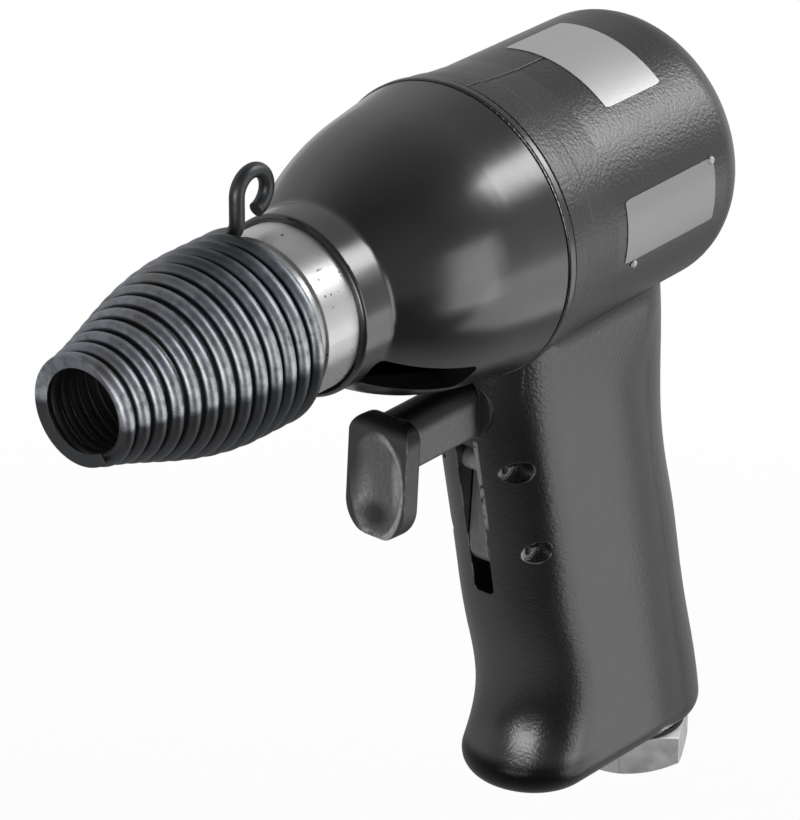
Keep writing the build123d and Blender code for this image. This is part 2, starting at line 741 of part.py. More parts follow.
def throttle_seal_places():
    y_front = back(throttle_front)
    return (y_front + 3 * bush_seal_section, y_front + throttle_length - 2 * bush_seal_section)


def make_throttle_seals():
    radius = throttle_radius + seat_gap - bush_seal_section
    return Compound(children=[Pos(0, 0, trigger_height) * seal(bush_seal_section, radius, y)
                              for y in throttle_seal_places()])


def valve_seat_y():
    return back(throttle_front + throttle_length) + running_gap


def make_throttle_valve():
    stem_y = back(plunger_rear) + rest_gap
    head_y = valve_seat_y() + facing_thickness
    head_rear = head_y + valve_head_thickness
    valve = rod(stem_radius, stem_y, head_y) + rod(valve_head_radius, head_y, head_rear)
    valve += rod(spring_spigot_radius, head_rear, head_rear + spring_spigot_length)
    return Pos(0, 0, trigger_height) * valve


def make_valve_facing():
    y = valve_seat_y()
    return Pos(0, 0, trigger_height) * ring(stem_radius, valve_head_radius, y, y + facing_thickness)


def make_throttle_spring():
    y_front = valve_seat_y() + facing_thickness + valve_head_thickness + running_gap
    return plain_coil(throttle_coil_radius, throttle_wire_radius, throttle_turns, y_front,
                      back(throttle_bore_end) - running_gap, z=trigger_height)


# Air inlet

def make_inlet_bushing():
    axis_y = back(inlet_y)
    hex_top = grip_bottom - washer_thickness
    hex_bottom = hex_top - inlet_hex_height
    screw_top = grip_bottom + inlet_thread_length
    nut = extrude(Plane.XY.offset(hex_bottom) * RegularPolygon(inlet_hex_flats / 2, 6, major_radius=False),
                  inlet_hex_height)
    land = inlet_hex_flats / 2 - inlet_hex_chamfer
    spread = land + inlet_chamfer_slope * inlet_hex_height
    nut &= Pos(0, 0, (hex_bottom + hex_top) / 2) * Cone(land, spread, inlet_hex_height)
    nut &= Pos(0, 0, (hex_bottom + hex_top) / 2) * Cone(spread, land, inlet_hex_height)
    body = nut + Pos(0, 0, hex_top) * Cylinder(inlet_thread_radius, screw_top - hex_top,
                                               align=(Align.CENTER, Align.CENTER, Align.MIN))
    body -= Pos(0, 0, hex_bottom) * Cylinder(hose_thread_radius, hose_thread_depth,
                                             align=(Align.CENTER, Align.CENTER, Align.MIN))
    body -= Pos(0, 0, hex_bottom) * Cylinder(strainer_radius - strainer_wall, screw_top - hex_bottom,
                                             align=(Align.CENTER, Align.CENTER, Align.MIN))
    return Pos(0, axis_y, 0) * body


def make_inlet_washer():
    hex_top = grip_bottom - washer_thickness
    washer = Cylinder(inlet_hex_flats / 2, washer_thickness, align=(Align.CENTER, Align.CENTER, Align.MIN))
    washer -= Cylinder(inlet_thread_radius + seat_gap, washer_thickness,
                       align=(Align.CENTER, Align.CENTER, Align.MIN))
    return Pos(0, back(inlet_y), hex_top) * washer


def make_inlet_strainer():
    base = grip_bottom + inlet_thread_length
    cup = Cylinder(strainer_flange_radius, strainer_wall, align=(Align.CENTER, Align.CENTER, Align.MIN))
    height = strainer_height - rest_gap
    cup += Cylinder(strainer_radius, height, align=(Align.CENTER, Align.CENTER, Align.MIN))
    cup -= Cylinder(strainer_radius - strainer_wall, height - strainer_wall,
                    align=(Align.CENTER, Align.CENTER, Align.MIN))
    rise = height / (strainer_hole_rows + 1)
    for row in range(strainer_hole_rows):
        for i in range(strainer_hole_count // 2):
            turn = 360 * (i + row / 2) / strainer_hole_count
            cup -= Pos(0, 0, rise * (row + 1)) * Rot(0, 0, turn) * Rot(0, 90, 0) * Cylinder(
                strainer_hole_radius, 3 * strainer_radius)
    return Pos(0, back(inlet_y), base) * cup


PIECES = {
    "handle_housing": make_handle_housing,
    "front_cover": make_front_cover,
    "cover_seal": make_cover_seal,
    "wiper_ring": make_wiper_ring,
    "front_buffer": make_front_buffer,
    "rear_buffer": make_rear_buffer,
    "damping_spring": make_damping_spring,
    "cylinder": make_cylinder,
    "nozzle_bush": make_nozzle_bush,
    "retainer_spring": make_retainer_spring,
    "cylinder_seal": make_land_seal,
    "valve_seat": make_valve_seat,
    "valve_plate": make_valve_plate,
    "valve_cap": make_valve_cap,
    "valve_dowels": make_valve_dowels,
    "piston": make_piston,
    "trigger": make_trigger,
    "trigger_link": make_trigger_link,
    "upper_pin": lambda: make_spring_pin(upper_pin),
    "lower_pin": lambda: make_spring_pin(lower_pin),
    "throttle_bush": make_throttle_bush,
    "throttle_bush_seals": make_throttle_seals,
    "throttle_valve": make_throttle_valve,
    "valve_facing": make_valve_facing,
    "throttle_spring": make_throttle_spring,
    "inlet_bushing": make_inlet_bushing,
    "inlet_washer": make_inlet_washer,
    "inlet_strainer": make_inlet_strainer,
}

os.makedirs("parts", exist_ok=True)
for name, make in PIECES.items():
    export_step(make(), os.path.join("parts", name + ".step"))
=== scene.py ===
from math import atan2, cos, degrees, pi, radians, sin
import bpy
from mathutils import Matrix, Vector


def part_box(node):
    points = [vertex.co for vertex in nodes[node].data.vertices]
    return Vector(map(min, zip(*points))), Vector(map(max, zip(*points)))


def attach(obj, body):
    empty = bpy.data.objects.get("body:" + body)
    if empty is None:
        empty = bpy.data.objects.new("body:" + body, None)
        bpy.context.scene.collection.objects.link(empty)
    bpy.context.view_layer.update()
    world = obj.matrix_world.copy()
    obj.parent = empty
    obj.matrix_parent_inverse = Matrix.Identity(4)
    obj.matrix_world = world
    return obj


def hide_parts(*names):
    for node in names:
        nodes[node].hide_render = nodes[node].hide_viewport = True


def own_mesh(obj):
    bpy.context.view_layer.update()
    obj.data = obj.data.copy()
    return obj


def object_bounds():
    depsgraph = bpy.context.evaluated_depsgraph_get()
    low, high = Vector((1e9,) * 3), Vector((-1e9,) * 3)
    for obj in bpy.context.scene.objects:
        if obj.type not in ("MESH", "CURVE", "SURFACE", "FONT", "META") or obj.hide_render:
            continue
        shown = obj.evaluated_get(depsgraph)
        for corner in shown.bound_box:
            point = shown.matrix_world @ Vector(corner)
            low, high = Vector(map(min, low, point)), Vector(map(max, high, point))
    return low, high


# Pneumatic chipping hammer with a pistol grip, in metres, in the frame of its solids: the barrel runs along Y
# with the nose towards -Y, and +Z is up. Places along the barrel are given from the joint of cover and
# housing.
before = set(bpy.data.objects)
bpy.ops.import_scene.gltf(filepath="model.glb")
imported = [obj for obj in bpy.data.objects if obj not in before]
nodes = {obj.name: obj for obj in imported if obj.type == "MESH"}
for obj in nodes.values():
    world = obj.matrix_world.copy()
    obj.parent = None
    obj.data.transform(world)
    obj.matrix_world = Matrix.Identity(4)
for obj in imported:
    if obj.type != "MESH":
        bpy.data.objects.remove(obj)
cad_low, cad_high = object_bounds()
joint_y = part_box("handle_housing")[0].y


# Handle housing
# A light-alloy casting, barrel and grip in one, sprayed with black semi-gloss paint. The skin has the fine,
# leather-like grain of its mould. It is rubbed to bare metal in spots, mostly along the lever's slot.

def new_finish(name):
    """A node material, its tree, its shader and a socket with the piece's own coordinates."""
    made = bpy.data.materials.new(name)
    made.use_nodes = True
    tree = made.node_tree
    place = tree.nodes.new("ShaderNodeTexCoord").outputs["Object"]
    return made, tree, tree.nodes["Principled BSDF"], place


def apart(tree, place):
    """The three coordinates, each by itself."""
    node = tree.nodes.new("ShaderNodeSeparateXYZ")
    tree.links.new(place, node.inputs["Vector"])
    return node.outputs["X"], node.outputs["Y"], node.outputs["Z"]


def spread(tree, value, low, high, to_low=0.0, to_high=1.0):
    """Takes a value from one range to another, with the ends clamped."""
    node = tree.nodes.new("ShaderNodeMapRange")
    node.inputs["From Min"].default_value = low
    node.inputs["From Max"].default_value = high
    node.inputs["To Min"].default_value = to_low
    node.inputs["To Max"].default_value = to_high
    tree.links.new(value, node.inputs["Value"])
    return node.outputs["Result"]


def joined(tree, first, second, operation="MULTIPLY"):
    """Two values put together by a sum, a product and so on."""
    node = tree.nodes.new("ShaderNodeMath")
    node.operation = operation
    for socket, value in zip(node.inputs, (first, second)):
        if isinstance(value, (int, float)):
            socket.default_value = value
        else:
            tree.links.new(value, socket)
    return node.outputs["Value"]


def line_at(tree, value, middle, half_width):
    """1 where a value is near the middle, fading to 0 at the half width."""
    away = joined(tree, joined(tree, value, middle, "SUBTRACT"), 0.0, "ABSOLUTE")
    return spread(tree, away, half_width / 2, half_width, 1.0, 0.0)


def grey(level):
    """A colour without a hue."""
    return level, level, level


def tint(tree, amount, first, second):
    """Mixes two colours by an amount from 0 to 1. A colour is three numbers or a socket."""
    node = tree.nodes.new("ShaderNodeMix")
    node.data_type = "RGBA"
    for name, colour in (("A", first), ("B", second)):
        if isinstance(colour, tuple):
            node.inputs[name].default_value = (*colour, 1.0)
        else:
            tree.links.new(colour, node.inputs[name])
    tree.links.new(amount, node.inputs["Factor"])
    return node.outputs["Result"]


def noise(tree, place, size, detail=3.0, roughness=0.5, stretch=(1, 1, 1)):
    """A soft random pattern from 0 to 1, with lumps of this size in metres, squeezed along the axes."""
    mapping = tree.nodes.new("ShaderNodeMapping")
    mapping.inputs["Scale"].default_value = stretch
    tree.links.new(place, mapping.inputs["Vector"])
    texture = tree.nodes.new("ShaderNodeTexNoise")
    texture.inputs["Scale"].default_value = 1 / size
    texture.inputs["Detail"].default_value = detail
    texture.inputs["Roughness"].default_value = roughness
    tree.links.new(mapping.outputs["Vector"], texture.inputs["Vector"])
    return texture.outputs["Fac"]


def pebbles(tree, place, size):
    """Small cells of this size in metres, 1 in their middles and 0 in the creases between them."""
    node = tree.nodes.new("ShaderNodeTexVoronoi")
    node.inputs["Scale"].default_value = 1 / size
    tree.links.new(place, node.inputs["Vector"])
    return spread(tree, node.outputs["Distance"], 0.0, 0.8, 1.0, 0.0)


def surface_facing(tree):
    """The direction in which the surface faces."""
    return tree.nodes.new("ShaderNodeNewGeometry").outputs["Normal"]


def towards(tree, direction, way):
    """How far a direction points another way, from -1 to 1. The way is three numbers or a socket."""
    dot = tree.nodes.new("ShaderNodeVectorMath")
    dot.operation = "DOT_PRODUCT"
    tree.links.new(direction, dot.inputs[0])
    if isinstance(way, tuple):
        dot.inputs[1].default_value = way
    else:
        tree.links.new(way, dot.inputs[1])
    return dot.outputs["Value"]


def softened(tree, radius):
    """The surface's direction with every edge rounded off by this radius."""
    node = tree.nodes.new("ShaderNodeBevel")
    node.samples = 6
    node.inputs["Radius"].default_value = radius
    return node.outputs["Normal"]


def worn_edges(tree, radius):
    """1 on the edges and 0 on the faces, over a strip of this width."""
    return spread(tree, towards(tree, softened(tree, radius), surface_facing(tree)), 0.995, 0.85)


def raised(tree, normal, height, depth):
    """The direction of a surface that is raised by a pattern of that depth in metres."""
    node = tree.nodes.new("ShaderNodeBump")
    node.inputs["Strength"].default_value = 1.0
    node.inputs["Distance"].default_value = depth
    tree.links.new(height, node.inputs["Height"])
    tree.links.new(normal, node.inputs["Normal"])
    return node


def dress(made, *pieces):
    """Gives solids of the frame their finish."""
    for piece in pieces:
        nodes[piece].data.materials.clear()
        nodes[piece].data.materials.append(made)


barrel_foot = -0.034
painted_edge = 0.0004
pebble_size = 0.0008
pore_size = 0.0005
grain_depth = 0.00004
sheen_patch = 0.018

# The depths of the seam and of the step are in depths of the grain
seam_x = 0.003
seam_half_width = 0.00045
seam_low = 0.020
seam_end = joint_y + 0.026
seam_depth = 5.0
step_y = joint_y + 0.0076
step_half_width = 0.0002
step_depth = 1.5
joint_gap = 0.0006

# The flank falls away behind a slanting line, by the rate times the cube of the distance from that line
crown_start = joint_y + 0.020
crown_slant = 0.187
crown_rate = 420

slot_side = 0.0025
slot_head = -0.048
slot_foot = -0.070
slot_wear_patch = 0.0025
edge_wear_patch = 0.0045
toe_shade_top = -0.1258
toe_front = joint_y + 0.016
toe_rear = joint_y + 0.032

grained_paint, tree, shader, place = new_finish("grained_black_paint")
across, along, up = apart(tree, place)
facing = surface_facing(tree)
on_barrel = spread(tree, up, barrel_foot - 0.012, barrel_foot)
below_barrel = spread(tree, up, barrel_foot, barrel_foot - 0.004)

grain = joined(tree, pebbles(tree, place, pebble_size), noise(tree, place, pore_size, detail=1.0), "ADD")
grain = joined(tree, grain, spread(tree, on_barrel, 0.0, 1.0, 0.5, 1.0))
on_top = joined(tree, spread(tree, up, seam_low, seam_low + 0.004),
                spread(tree, along, seam_end + 0.001, seam_end))
seam = joined(tree, line_at(tree, across, seam_x, seam_half_width), on_top)
step = joined(tree, spread(tree, along, step_y - step_half_width, step_y + step_half_width), on_barrel)
gap = spread(tree, along, joint_y + joint_gap, joint_y + joint_gap * 0.7)
lines = joined(tree, seam, gap, "MAXIMUM")
skin = joined(tree, grain, joined(tree, seam, seam_depth), "SUBTRACT")
skin = joined(tree, skin, joined(tree, step, step_depth), "SUBTRACT")

rubbed = spread(tree, noise(tree, place, edge_wear_patch), 0.50, 0.60)
rubbed = joined(tree, worn_edges(tree, 0.0005), rubbed)
beside_slot = line_at(tree, across, slot_side + 0.0004, 0.0006)
down_slot = joined(tree, spread(tree, up, slot_head, slot_head - 0.001),
                   spread(tree, up, slot_foot, slot_foot + 0.004))
outside = spread(tree, towards(tree, facing, (0, -1, 0)), 0.3, 0.6)
slot_wear = joined(tree, joined(tree, beside_slot, down_slot), outside)
slot_wear = joined(tree, slot_wear, spread(tree, noise(tree, place, slot_wear_patch), 0.36, 0.46))
bare = joined(tree, joined(tree, rubbed, below_barrel), slot_wear, "MAXIMUM")

patches = noise(tree, place, sheen_patch)
black = tint(tree, patches, (0.004, 0.004, 0.0043), (0.007, 0.007, 0.0074))
painted = tint(tree, lines, black, grey(0.002))
tree.links.new(tint(tree, bare, painted, (0.55, 0.55, 0.56)), shader.inputs["Base Color"])
tree.links.new(bare, shader.inputs["Metallic"])
handling_and_painted_light = spread(tree, on_barrel, 0.0, 1.0, 0.27, 0.31)
uneven = spread(tree, patches, 0.3, 0.7, 0.0, 0.04)
tree.links.new(joined(tree, handling_and_painted_light, uneven, "ADD"), shader.inputs["Roughness"])
# Painted shade: the reflection is dulled on the toe's lower end
toe = joined(tree, spread(tree, up, toe_shade_top + 0.0006, toe_shade_top - 0.0012),
             spread(tree, along, toe_rear, toe_front))
dull = joined(tree, lines, toe, "MAXIMUM")
tree.links.new(tint(tree, dull, grey(1.0), grey(0.1)), shader.inputs["Specular Tint"])
shader.inputs["IOR"].default_value = 2.0

rearward = joined(tree, joined(tree, along, joined(tree, up, crown_slant), "ADD"), crown_start, "SUBTRACT")
swelling = joined(tree, joined(tree, joined(tree, rearward, 0.0, "MAXIMUM"), 3.0, "POWER"), -crown_rate)
crown = raised(tree, softened(tree, painted_edge), swelling, 1.0)
flank = spread(tree, joined(tree, towards(tree, facing, (1, 0, 0)), 0.0, "ABSOLUTE"), 0.6, 0.9)
on_grip = spread(tree, up, barrel_foot + 0.004, barrel_foot - 0.010)
tree.links.new(joined(tree, flank, on_grip), crown.inputs["Strength"])
pebbled = raised(tree, crown.outputs["Normal"], skin, grain_depth)
tree.links.new(pebbled.outputs["Normal"], shader.inputs["Normal"])
dress(grained_paint, "handle_housing")


# Front cover
# A smooth bell, moulded in glossy black, that screws on the housing's front. Its neck holds a wiper, and low
# on each side it has an exhaust window. Its cut edges and the bell's inside low down are matt, with painted
# shade.

def from_axis(tree, place):
    """The direction away from the barrel's axis."""
    flat = tree.nodes.new("ShaderNodeVectorMath")
    flat.operation = "MULTIPLY"
    flat.inputs[1].default_value = (1, 0, 1)
    tree.links.new(place, flat.inputs[0])
    outward = tree.nodes.new("ShaderNodeVectorMath")
    outward.operation = "NORMALIZE"
    tree.links.new(flat.outputs["Vector"], outward.inputs[0])
    return outward.outputs["Vector"]


def facing_out(tree, place):
    """1 where the surface faces away from the barrel's axis, and -1 where it faces the axis."""
    return towards(tree, from_axis(tree, place), surface_facing(tree))


def relief(tree, shader, height, depth, edge_radius):
    """Raises the surface by a pattern of that depth, on edges rounded by a radius, both in metres."""
    node = raised(tree, softened(tree, edge_radius), height, depth)
    tree.links.new(node.outputs["Normal"], shader.inputs["Normal"])


window_top = -0.004

gloss_black, tree, shader, place = new_finish("glossy_black_moulding")
orange_peel = noise(tree, place, 0.006, detail=1.0)
clouds = noise(tree, place, 0.014)
_, _, up = apart(tree, place)
# Painted shade: the window's cut edges and the inside low down are dark and matt
window_shade = joined(tree, spread(tree, facing_out(tree, place), 0.1, 0.35, 1.0, 0.0),
               spread(tree, up, window_top, window_top - 0.004))
polished = tint(tree, clouds, (0.009, 0.009, 0.010), (0.013, 0.013, 0.0135))
tree.links.new(tint(tree, window_shade, polished, grey(0.003)), shader.inputs["Base Color"])
shine = spread(tree, clouds, 0.3, 0.7, 0.19, 0.24)
tree.links.new(joined(tree, shine, joined(tree, window_shade, 0.9), "MAXIMUM"), shader.inputs["Roughness"])
tree.links.new(tint(tree, window_shade, grey(1.0), grey(0.05)), shader.inputs["Specular Tint"])
shader.inputs["IOR"].default_value = 2.1
relief(tree, shader, orange_peel, 0.00004, 0.0003)
dress(gloss_black, "front_cover")


# Wiper, seals, buffers, valve facing and washer
# Moulded of matt black rubber, with a trace of dust. They lie in grooves or between faces, held by the pieces
# that they seal or cushion.

def roughened(tree, shader, pattern, low, high):
    """Lets the roughness follow a pattern between two levels."""
    tree.links.new(spread(tree, pattern, 0.3, 0.7, low, high), shader.inputs["Roughness"])


rubber, tree, shader, place = new_finish("black_rubber")
dust = noise(tree, place, 0.0014)
tree.links.new(tint(tree, dust, grey(0.010), grey(0.022)), shader.inputs["Base Color"])
roughened(tree, shader, dust, 0.6, 0.8)
relief(tree, shader, dust, 0.00003, 0.0002)
dress(rubber, "wiper_ring", "cover_seal", "front_buffer", "rear_buffer", "cylinder_seal",
      "throttle_bush_seals", "valve_facing", "inlet_washer")


# Cylinder, bush, piston and valve
# Hardened steel, turned and ground bright. The collar between the cover and the spring shows fine rings from
# the wheel, and a few specks.

bright_steel, tree, shader, place = new_finish("ground_steel")
rings = noise(tree, place, 0.012, stretch=(0.3, 60, 0.3))
smears = noise(tree, place, 0.009)
specks = spread(tree, noise(tree, place, 0.0011, detail=1.0), 0.72, 0.76)
clean = tint(tree, smears, (0.86, 0.86, 0.865), grey(0.94))
tree.links.new(tint(tree, specks, clean, (0.16, 0.15, 0.14)), shader.inputs["Base Color"])
roughened(tree, shader, rings, 0.42, 0.50)
shader.inputs["Metallic"].default_value = 1.0
shader.inputs["Anisotropic"].default_value = 0.8
shader.inputs["Anisotropic Rotation"].default_value = 0.25
around = tree.nodes.new("ShaderNodeTangent")
around.direction_type = "RADIAL"
around.axis = "Y"
tree.links.new(around.outputs["Tangent"], shader.inputs["Tangent"])
relief(tree, shader, rings, 0.000012, 0.0003)
dress(bright_steel, "cylinder", "nozzle_bush", "piston", "valve_seat", "valve_plate", "valve_cap",
      "valve_dowels")


# Retainer spring
# Oil-tempered wire, dark and bluish, wound cold, with its front end ground flat. It has streaks from the
# drawing die and a brown film in places. A band of painted light runs along the coil's sides, and painted
# shade darkens it between the turns and inside the coil. It is also darker below the axis and on the eye.

ground_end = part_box("retainer_spring")[0].y
eye_foot = 0.0175

spring_wire, tree, shader, place = new_finish("tempered_spring_wire")
_, along, up = apart(tree, place)
streaks = noise(tree, place, 0.0022, detail=4.0, roughness=0.6)
film = noise(tree, place, 0.009)
blued = tint(tree, spread(tree, streaks, 0.3, 0.7), (0.22, 0.24, 0.27), (0.40, 0.43, 0.475))
tempered = tint(tree, spread(tree, film, 0.55, 0.72), blued, (0.24, 0.215, 0.21))
side_on = joined(tree, towards(tree, surface_facing(tree), (0, 1, 0)), 0.0, "ABSOLUTE")
# Painted shade between the turns
between = joined(tree, spread(tree, side_on, 0.90, 0.99),
                 spread(tree, along, ground_end + 0.0003, ground_end + 0.0008))
# Painted shade inside the coil
inside = spread(tree, facing_out(tree, place), -0.05, -0.4)
# The rise is 1 above the barrel's axis, 0 beside it and -1 below it
_, _, rise = apart(tree, from_axis(tree, place))
# A band of painted light along the coil's sides
handling_and_painted_light = joined(tree, spread(tree, rise, -0.09, 0.0), spread(tree, rise, 0.70, 0.30))
handling_and_painted_light = joined(tree, handling_and_painted_light, spread(tree, streaks, 0.3, 0.6))
wire = tint(tree, handling_and_painted_light, tempered, (0.62, 0.635, 0.66))
# Darker below the axis and on the eye
wire = tint(tree, spread(tree, rise, -0.03, -0.12), wire, (0.10, 0.105, 0.112))
wire = tint(tree, spread(tree, up, eye_foot, eye_foot + 0.002), wire, (0.10, 0.105, 0.11))
wire = tint(tree, between, wire, (0.07, 0.072, 0.076))
tree.links.new(tint(tree, inside, wire, (0.075, 0.076, 0.078)), shader.inputs["Base Color"])
roughened(tree, shader, streaks, 0.36, 0.48)
shader.inputs["Metallic"].default_value = 0.9
relief(tree, shader, streaks, 0.00004, 0.0003)
dress(spring_wire, "retainer_spring", "damping_spring", "throttle_spring")


# Damping and throttle springs
# Two plain coils of the same wire inside the housing. One gives as the cylinder floats and the other as the
# trigger pushes the throttle valve open.

def coil_that_gives(name, node):
    """A node's coil as a piece of its own, carried by the housing, with the node hidden."""
    same_point = 0.000001
    coil = bpy.data.objects.new(name, nodes[node].data.copy())
    bpy.context.scene.collection.objects.link(coil)
    bpy.ops.object.select_all(action="DESELECT")
    coil.select_set(True)
    bpy.context.view_layer.objects.active = coil
    bpy.ops.object.mode_set(mode="EDIT")
    bpy.ops.mesh.select_all(action="SELECT")
    bpy.ops.mesh.remove_doubles(threshold=same_point)
    bpy.ops.object.mode_set(mode="OBJECT")
    bpy.ops.object.shade_smooth_by_angle(angle=radians(40))
    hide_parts(node)
    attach(coil, "housing")
    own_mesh(coil)


coil_that_gives("damping_coil", "damping_spring")
coil_that_gives("throttle_coil", "throttle_spring")


# Trigger
# Cast steel, phosphated dark: a dished spoon on an arm that slides in the grip. The finger has rubbed the
# dish in faint upright streaks, brightest along the lower edge and the right rim, whose bright line is also
# a painted highlight. Painted shade darkens the dish outside its rim, the top of the arm, every upward face
# and the arm where it goes into the grip. The dish has a dark spot low down and is darker along its left
# edge.

def from_middle(tree, first, second, middle, radii):
    """Distance from a middle, as a share of an ellipse with these half widths."""
    squares = []
    for value, centre, radius in zip((first, second), middle, radii):
        share = joined(tree, joined(tree, value, centre, "SUBTRACT"), radius, "DIVIDE")
        squares.append(joined(tree, share, 2.0, "POWER"))
    return joined(tree, joined(tree, *squares, "ADD"), 0.5, "POWER")


def blob(tree, first, second, middle, radii):
    """1 at a middle, fading to 0 on an ellipse with these half widths."""
    return spread(tree, from_middle(tree, first, second, middle, radii), 0.35, 1.0, 1.0, 0.0)


pad_rear = joint_y - 0.0185
pad_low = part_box("trigger")[0].z
dish_middle = (0, -0.049)
dish_radii = (0.0066, 0.0111)
rim_width = 0.10
low_dark_spot = (-0.001, -0.0552)
low_dark_radii = (0.0055, 0.0038)
rubbed_spot = (0.0048, -0.0468)
rubbed_radii = (0.0022, 0.0075)
arm_shade = -0.0392

worn_steel, tree, shader, place = new_finish("worn_dark_steel")
across, along, up = apart(tree, place)
facing = surface_facing(tree)
streaks = noise(tree, place, 0.0007, detail=4.0, roughness=0.6, stretch=(1, 1, 0.4))
pits = noise(tree, place, 0.0008, detail=2.0)
on_pad = spread(tree, along, pad_rear + 0.0008, pad_rear)
front = joined(tree, spread(tree, towards(tree, facing, (0, -1, 0)), 0.2, 0.6), on_pad)

outward = from_middle(tree, across, up, dish_middle, dish_radii)
# The rim line is wear and a painted highlight
rim = joined(tree, line_at(tree, outward, 1.0, rim_width), spread(tree, across, -0.001, 0.003))
foot = joined(tree, spread(tree, up, pad_low + 0.0022, pad_low + 0.0008), spread(tree, streaks, 0.42, 0.56))
rubbed = blob(tree, across, up, rubbed_spot, rubbed_radii)
rubbed = joined(tree, joined(tree, rubbed, rim, "MAXIMUM"), foot, "MAXIMUM")
dish = tint(tree, spread(tree, streaks, 0.3, 0.7), (0.17, 0.17, 0.172), grey(0.25))
# Darker along the left edge and in a spot low in the dish
dish = tint(tree, spread(tree, across, -0.0036, -0.0058), dish, grey(0.07))
dish = tint(tree, blob(tree, across, up, low_dark_spot, low_dark_radii), dish, grey(0.06))
# Painted shade outside the dish's rim
dish = tint(tree, spread(tree, outward, 1.0, 1.1), dish, grey(0.09))
dish = tint(tree, joined(tree, rubbed, spread(tree, streaks, 0.2, 0.5)), dish, (0.58, 0.58, 0.57))

chips = joined(tree, joined(tree, worn_edges(tree, 0.0006), on_pad), spread(tree, streaks, 0.46, 0.60))
arm = tint(tree, pits, (0.13, 0.13, 0.132), grey(0.19))
arm = tint(tree, on_pad, arm, grey(0.10))
# Painted shade on the top of the arm
arm = tint(tree, spread(tree, up, arm_shade, arm_shade + 0.0016), arm, grey(0.03))
arm = tint(tree, chips, arm, (0.5, 0.5, 0.49))
# Painted shade where the arm goes into the grip
arm = tint(tree, spread(tree, along, joint_y + 0.0005, joint_y + 0.0025), arm, grey(0.05))

# Painted shade on every upward face
painted_shade_on_top = spread(tree, towards(tree, facing, (0, 0, 1)), 0.35, 0.75)
worn = tint(tree, painted_shade_on_top, tint(tree, front, arm, dish), grey(0.012))
tree.links.new(worn, shader.inputs["Base Color"])
roughened(tree, shader, streaks, 0.52, 0.40)
shader.inputs["Metallic"].default_value = 0.7
relief(tree, shader, joined(tree, streaks, pits, "ADD"), 0.00005, 0.0006)
dress(worn_steel, "trigger")


# Trigger link
# A flat lever stamped from steel, plain and grey, that stands in the slot below the trigger and turns on the
# lower pin. Its head, in the trigger's plunger, has painted shade.

head_shade_low = -0.0575

link_steel, tree, shader, place = new_finish("stamped_grey_steel")
_, _, up = apart(tree, place)
scuffs = noise(tree, place, 0.0014, detail=4.0, stretch=(1, 1, 0.4))
stamped = tint(tree, scuffs, (0.16, 0.16, 0.165), grey(0.30))
# Painted shade on the head, inside the trigger's plunger
stamped = tint(tree, spread(tree, up, head_shade_low, head_shade_low + 0.003), stamped, grey(0.03))
tree.links.new(tint(tree, worn_edges(tree, 0.0004), stamped, (0.62, 0.62, 0.61)), shader.inputs["Base Color"])
roughened(tree, shader, scuffs, 0.42, 0.55)
shader.inputs["Metallic"].default_value = 0.8
relief(tree, shader, scuffs, 0.00004, 0.0004)
dress(link_steel, "trigger_link")


# Spring pins
# Rolled from steel strip, bare, with an open slit. They are driven across the grip through its slot, where
# their ends show on the flanks.

pin_steel, tree, shader, place = new_finish("rolled_pin_steel")
scuffs = noise(tree, place, 0.0009, detail=4.0)
rolled = tint(tree, scuffs, (0.28, 0.28, 0.285), grey(0.46))
tree.links.new(tint(tree, worn_edges(tree, 0.0005), rolled, grey(0.85)), shader.inputs["Base Color"])
roughened(tree, shader, scuffs, 0.34, 0.48)
shader.inputs["Metallic"].default_value = 0.45
relief(tree, shader, scuffs, 0.00003, 0.0002)
dress(pin_steel, "upper_pin", "lower_pin")


# Throttle bush, valve and strainer
# Brass, turned from bar, with the tool's fine rings. The bush stands in the housing behind the trigger, the
# valve slides in it, and the strainer covers the inlet.

brass, tree, shader, place = new_finish("turned_brass")
turning = noise(tree, place, 0.012, stretch=(0.4, 40, 0.4))
tree.links.new(tint(tree, turning, (0.62, 0.44, 0.16), (0.74, 0.56, 0.24)), shader.inputs["Base Color"])
roughened(tree, shader, turning, 0.2, 0.35)
shader.inputs["Metallic"].default_value = 1.0
relief(tree, shader, turning, 0.00001, 0.0002)
dress(brass, "throttle_bush", "throttle_valve", "inlet_strainer")


# Inlet bushing
# A hexagon bush of zinc-plated steel that screws into the heel of the grip. It is bright and slightly cloudy,
# and scuffed by the wrench at its corners.

plated, tree, shader, place = new_finish("bright_zinc_plate")
cloud = noise(tree, place, 0.004, detail=4.0)
scuffed = joined(tree, worn_edges(tree, 0.0006), spread(tree, cloud, 0.4, 0.6))
zinc = tint(tree, cloud, (0.80, 0.81, 0.82), grey(0.94))
tree.links.new(tint(tree, scuffed, zinc, grey(0.6)), shader.inputs["Base Color"])
roughened(tree, shader, cloud, 0.34, 0.5)
shader.inputs["Metallic"].default_value = 1.0
relief(tree, shader, cloud, 0.00003, 0.0004)
dress(plated, "inlet_bushing")


# Plates
# Two bare plates of satin aluminium on the barrel, one over the top and one on the left flank, bent to the
# barrel and with rounded corners. The flank's plate has dulled.

def satin_finish(name, dark, light):
    """Brushed aluminium between two greys."""
    made, tree, shader, place = new_finish(name)
    brushing = noise(tree, place, 0.008, stretch=(1, 0.2, 1))
    tree.links.new(tint(tree, brushing, grey(dark), grey(light)), shader.inputs["Base Color"])
    roughened(tree, shader, brushing, 0.4, 0.5)
    shader.inputs["Metallic"].default_value = 0.7
    relief(tree, shader, brushing, 0.00001, 0.0001)
    return made


def spoke(angle):
    """The direction away from the barrel's axis at a polar angle: 0 is the tool's left and 90 is up."""
    return Vector((cos(radians(angle)), 0, sin(radians(angle))))


def skin_radius(y, angle):
    """Distance from the axis to the housing's skin at this Y and polar angle."""
    beyond_skin = 0.1
    start = Vector((0, y, 0)) + spoke(angle) * beyond_skin
    _, point, _, _ = nodes["handle_housing"].ray_cast(start, -spoke(angle))
    return Vector((point.x, 0, point.z)).length


